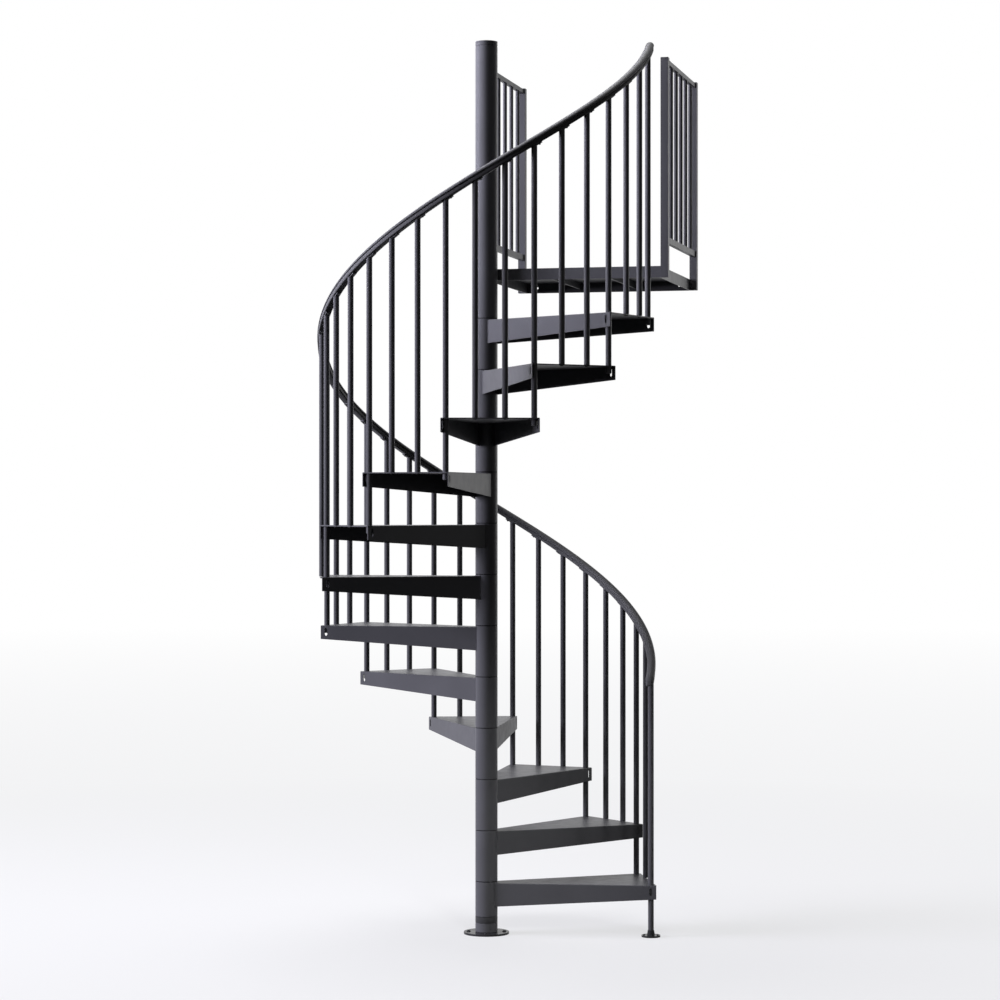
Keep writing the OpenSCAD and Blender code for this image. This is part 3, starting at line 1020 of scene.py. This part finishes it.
@dataclass
class HubWelds:
    """Rippled weld beads that join each tread's plate and flanges to its hub sleeve.

    Attributes:
        plan: The stair's plan.
        bead: Radius of a bead.
        ripple: Share by which the bead swells at each ripple.
        pitch: Distance between ripples.
        ripple_steps: Number of steps along one ripple.
        sides: Number of steps round the bead.
        stop: Length at the lower end of a flange that has no bead.
        crease: Angle above which an edge of a bead stays sharp, in degrees.
    """

    plan: StairPlan
    bead: float = 2.2 * MM
    ripple: float = 0.14
    pitch: float = 3.2 * MM
    ripple_steps: float = 5.0
    sides: int = 8
    stop: float = 6.0 * MM
    crease: float = 60.0

    def steps(self, length: float) -> int:
        """Gives the number of steps along a bead of a length."""
        return math.ceil(length / (self.pitch / self.ripple_steps))

    def swell(self, travel: float) -> float:
        """Gives the bead's size at a distance along it."""
        return 1.0 + self.ripple * math.sin(travel / self.pitch * 2.0 * math.pi)

    def plate_bead(self) -> bmesh.types.BMesh:
        """Models the bead along the plate, on a tread whose top is at z = 0 and whose middle is along X.

        Returns:
            The bead's mesh.
        """
        plan = self.plan
        radius = plan.hub_d / 2
        half = plan.weld_half
        mesh = bmesh.new()
        ring = bmesh.ops.create_circle(mesh, segments=self.sides, radius=self.bead)["verts"]
        upright = plan.place(-half, radius, 0.0) @ Matrix.Rotation(math.radians(RIGHT_ANGLE), 4, "X")
        bmesh.ops.transform(mesh, verts=ring, matrix=upright)
        spin_round(mesh, 2.0 * half, self.steps(math.radians(2.0 * half) * radius))
        for vert in mesh.verts:
            angle = math.atan2(vert.co.y, vert.co.x)
            core = Vector((radius * math.cos(angle), radius * math.sin(angle), 0.0))
            vert.co = core + (vert.co - core) * self.swell(angle * radius)
        return mesh

    def flange_bead(self, side: Side) -> bmesh.types.BMesh:
        """Models the upright bead along one flange.

        Args:
            side: The flange's side of the tread.

        Returns:
            The bead's mesh.
        """
        plan = self.plan
        length = plan.flange_hub_depth - self.stop
        steps = self.steps(length)
        mesh = bmesh.new()
        ring = bmesh.ops.create_circle(mesh, segments=self.sides, radius=self.bead)["verts"]
        core = plan.place(side.value * plan.weld_half, plan.hub_d / 2, 0.0).translation
        bmesh.ops.translate(mesh, verts=ring, vec=core)
        edges = list(mesh.edges)
        bmesh.ops.spin(mesh, geom=ring + edges, cent=core, axis=UP, dvec=-UP * length / steps,
                       angle=0.0, steps=steps, use_merge=False)
        for vert in mesh.verts:
            middle = Vector((core.x, core.y, vert.co.z))
            vert.co = middle + (vert.co - middle) * self.swell(vert.co.z)
        return mesh

    def dress(self, finish: bpy.types.Material) -> None:
        """Welds every tread to its hub.

        Args:
            finish: Material of the beads.
        """
        plan = self.plan
        places = [plan.place(plan.tread_mid(k), 0.0, plan.tread_top(k)) for k in plan.treads]
        shapes = {"plate_welds": self.plate_bead(), "front_flange_welds": self.flange_bead(Side.FRONT),
                  "rear_flange_welds": self.flange_bead(Side.REAR)}
        for name, shape in shapes.items():
            add_piece(name, stamp(shape, places), finish, Slot.COAT, crease=self.crease)


@dataclass
class PostCaps:
    """Low moulded caps on the guard posts.

    Attributes:
        posts: Names of the posts.
        height: Height of a cap.
        crown: Rise of its top towards the middle.
        slope: Width of the sloping border of its top, as a share of the post's.
        rounding: Radius of its edges, as a share of its height.
        edge_steps: Number of steps across such an edge.
        sharp: Angle above which an edge is rounded, in degrees.
    """

    posts: tuple[str, ...] = ("right_near_post", "right_far_post", "left_far_post")
    height: float = 1.4 * MM
    crown: float = 0.4 * MM
    slope: float = 0.3
    rounding: float = 0.4
    edge_steps: int = 3
    sharp: float = 60.0

    def build(self, post: str) -> bmesh.types.BMesh:
        """Models the cap of one post from the post's own box.

        Args:
            post: Name of the post.

        Returns:
            The cap's mesh.
        """
        low, high = (Vector(corner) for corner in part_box(post))
        mesh = bmesh.new()
        bmesh.ops.create_cube(mesh, size=1.0)
        size = Vector((high.x - low.x, high.y - low.y, self.height))
        bmesh.ops.scale(mesh, verts=mesh.verts, vec=size)
        middle = Vector(((low.x + high.x) / 2, (low.y + high.y) / 2, high.z + self.height / 2))
        bmesh.ops.translate(mesh, verts=mesh.verts, vec=middle)
        top = max(mesh.faces, key=lambda f: f.calc_center_median().z)
        bmesh.ops.inset_region(mesh, faces=[top], thickness=size.x * self.slope)
        bmesh.ops.translate(mesh, verts=top.verts, vec=UP * self.crown)
        rim = [e for e in mesh.edges if e.calc_face_angle(0.0) > math.radians(self.sharp)]
        round_edges(mesh, rim, self.height * self.rounding, self.edge_steps)
        return mesh

    def dress(self, finish: bpy.types.Material) -> None:
        """Sets a cap on every post."""
        for post in self.posts:
            add_piece(f"{post}_cap", self.build(post), finish, Slot.COAT)


@dataclass(frozen=True)
class SoftBox:
    """One soft studio lamp, placed round the column as the camera sees it.

    Attributes:
        name: Name of the lamp.
        azimuth: Direction from the column, where 0 is right, 90 away from the camera and 180 left.
        distance: Distance from the column.
        height: Height of the lamp's middle.
        width: Width of the lamp.
        length: Upright length of the lamp.
        power: Power in watts.
        colour: Colour of its light.
        aim: Height of the point on the column that the lamp looks at.
        spread: Angle of the lamp's grid, in degrees.
        mirrored: Whether glossy surfaces show the lamp.
    """

    name: str
    azimuth: float
    distance: float
    height: float
    width: float
    length: float
    power: float
    colour: Colour = WHITE
    aim: float = 2.0
    spread: float = 180.0
    mirrored: bool = True

    def build(self, turn: float) -> None:
        """Hangs the lamp and turns it to the stair.

        Args:
            turn: Turn of the camera's plan against the stair's, in degrees.
        """
        data = bpy.data.lights.new(self.name, "AREA")
        data.shape = "RECTANGLE"
        data.size, data.size_y = self.width, self.length
        data.energy = self.power
        data.color = self.colour
        data.spread = math.radians(self.spread)
        lamp = bpy.data.objects.new(self.name, data)
        angle = math.radians(self.azimuth + turn)
        lamp.location = (self.distance * math.cos(angle), self.distance * math.sin(angle), self.height)
        sight = UP * self.aim - lamp.location
        lamp.rotation_euler = sight.to_track_quat("-Z", "Y").to_euler()
        lamp.visible_camera = False
        lamp.visible_glossy = self.mirrored
        bpy.context.scene.collection.objects.link(lamp)


@dataclass
class Studio:
    """Camera, lamps, floor and white surroundings.

    Attributes:
        distance: Distance from the camera to the column, along the camera's view.
        shift: Distance from the camera's view line to the column, to the left.
        eye: Height of the camera.
        turn: Turn of the camera's plan against the stair's, in degrees.
        lens: Focal length of the lens, in millimetres.
        sensor: Width of the camera's sensor, in millimetres.
        sight: Greatest distance that the camera sees.
        floor_size: Width of the floor.
        ambient: Strength of the surroundings' light on the stair.
        lamps: The lamps.
    """

    distance: float = 12.3644
    shift: float = 0.0605
    eye: float = 1.939
    turn: float = 13.6
    lens: float = 99.47
    sensor: float = 36.0
    sight: float = 500.0
    floor_size: float = 160.0
    ambient: float = 0.03
    lamps: tuple[SoftBox, ...] = (
        SoftBox("left_softbox", 186.0, 12.0, 4.1, 6.5, 5.0, 4000.0, COOL_WHITE, mirrored=False),
        SoftBox("high_left_grid", 179.0, 4.0, 4.2, 1.0, 2.0, 66.0, COOL_WHITE, aim=4.0, spread=60.0,
                mirrored=False),
        SoftBox("back_right_softbox", 40.0, 8.0, 3.0, 3.0, 4.5, 135.0),
        SoftBox("back_top_softbox", 92.0, 10.0, 6.5, 6.0, 3.0, 106.0),
        SoftBox("overhead_softbox", 120.0, 1.5, 9.0, 5.0, 5.0, 845.0),
        SoftBox("low_front_grid", 285.0, 4.5, 2.6, 0.6, 0.6, 2.6, aim=0.2, spread=25.0),
        SoftBox("low_right_grid", 325.0, 4.5, 2.2, 0.6, 0.6, 0.9, aim=0.3, spread=25.0),
    )

    def build_camera(self) -> None:
        """Makes the camera at the photograph's place."""
        data = bpy.data.cameras.new("camera")
        data.lens = self.lens
        data.sensor_width = self.sensor
        data.clip_end = self.sight
        camera = bpy.data.objects.new("camera", data)
        plan = Matrix.Rotation(math.radians(self.turn), 4, "Z")
        camera.location = plan @ Vector((self.shift, -self.distance, self.eye))
        camera.rotation_euler = (math.radians(RIGHT_ANGLE), 0.0, math.radians(self.turn))
        bpy.context.scene.collection.objects.link(camera)
        bpy.context.scene.camera = camera

    def build_floor(self) -> None:
        """Lays the pale floor."""
        mesh = bmesh.new()
        bmesh.ops.create_grid(mesh, x_segments=1, y_segments=1, size=self.floor_size / 2)
        data = bpy.data.meshes.new("floor")
        mesh.to_mesh(data)
        mesh.free()
        data.materials.append(FloorFinish().material())
        floor = bpy.data.objects.new("floor", data)
        bpy.context.scene.collection.objects.link(floor)

    def build_world(self) -> None:
        """Makes white surroundings that light the stair only a little."""
        world = bpy.data.worlds.new("white_surroundings")
        world.use_nodes = True
        tree = world.node_tree
        tree.nodes.clear()
        shades = []
        for strength in (self.ambient, 1.0):
            shade = tree.nodes.new("ShaderNodeBackground")
            shade.inputs["Color"].default_value = (*WHITE, 1.0)
            shade.inputs["Strength"].default_value = strength
            shades.append(shade)
        pick = tree.nodes.new("ShaderNodeMixShader")
        tree.links.new(seen_rays(tree), pick.inputs["Fac"])
        for i, shade in enumerate(shades, start=1):
            tree.links.new(shade.outputs["Background"], pick.inputs[i])
        output = tree.nodes.new("ShaderNodeOutputWorld")
        tree.links.new(pick.outputs["Shader"], output.inputs["Surface"])
        bpy.context.scene.world = world

    def build(self) -> None:
        """Builds the whole studio."""
        self.build_camera()
        self.build_floor()
        self.build_world()
        for lamp in self.lamps:
            lamp.build(self.turn)
        bpy.context.scene.view_settings.view_transform = "Standard"


def dress_solids(finishes: dict[Slot, bpy.types.Material], own: dict[str, bpy.types.Material]) -> None:
    """Gives every CAD node its own finish or that of its record's slot.

    Args:
        finishes: The material for each slot.
        own: The material of each node that differs from its slot.
    """
    slots = {row["node"]: Slot(row["material_slot"]) for row in frame["record"]["subparts"]}
    for name, node in frame["nodes"].items():
        for holder in node.material_slots:
            holder.material = own.get(name, finishes[slots[name]])
        LOG.info("%s: %s", name, slots[name].value)


def main() -> None:
    """Dresses the solids, adds the pieces and builds the studio."""
    logging.basicConfig(level=logging.INFO, format="%(name)s: %(message)s")
    coat = CoatFinish("black_powder_coat", (0.061, 0.061, 0.0655), (0.068, 0.068, 0.073)).material()
    grip = CoatFinish("rail_cover", (0.060, 0.060, 0.062), (0.068, 0.068, 0.071), smooth=0.42, rough=0.5,
                      specular=0.04).material()
    # Darker, glossier copy of the coat on the base plate and newel foot: its darker colour is painted shade
    # of the contact shade and the column's dark reflection there.
    shaded_foot_coat = CoatFinish("shaded_foot_coat", (0.020, 0.020, 0.021), (0.026, 0.026, 0.028), smooth=0.2,
                           rough=0.28).material()
    # Darker copy of the coat for the base spacer and its band: painted shade of the recess above the collar.
    recess_shade_coat = CoatFinish("painted_recess_shade", (0.030, 0.030, 0.031), (0.038, 0.038, 0.040)).material()
    dark_steel = CoatFinish("dark_steel", (0.05, 0.05, 0.052), (0.08, 0.08, 0.082), smooth=0.32, rough=0.45,
                            metallic=0.7, edge_radius=0.3 * MM, peel_depth=0.02 * MM).material()
    black_oxide = CoatFinish("black_oxide", (0.014, 0.014, 0.015), (0.022, 0.022, 0.023), smooth=0.38,
                             rough=0.5, edge_radius=0.3 * MM, peel_depth=0.02 * MM).material()
    # Near-black material of the hub groove rings: painted shade of the joint gaps.
    gap_shade_black = CoatFinish("painted_gap_shade", (0.006, 0.006, 0.006), (0.010, 0.010, 0.010), smooth=0.6, rough=0.75,
                        specular=0.04, edge_radius=0.2 * MM).material()
    dress_solids({Slot.COAT: coat, Slot.GRIP: grip},
                 {"base_spacer": recess_shade_coat, "base_plate": shaded_foot_coat, "newel_foot": shaded_foot_coat})
    plan = StairPlan()
    Handrail(plan).dress(grip)
    RailScrews(plan).dress(dark_steel)
    FootScrews(plan).dress(black_oxide)
    TreadBolts(plan).dress(black_oxide)
    AnchorBolts(plan).dress(black_oxide)
    # Band whose dark tone paints the shade of the recess above the base collar.
    BaseShadeBand(plan).dress(recess_shade_coat)
    # Rings in the hub grooves that paint the shade of the joint gaps.
    HubGapShadeRings(plan).dress(gap_shade_black)
    StubPlugs(plan).dress(coat)
    HubWelds(plan).dress(coat)
    PostCaps().dress(coat)
    Studio().build()


if __name__ == "__main__":
    main()
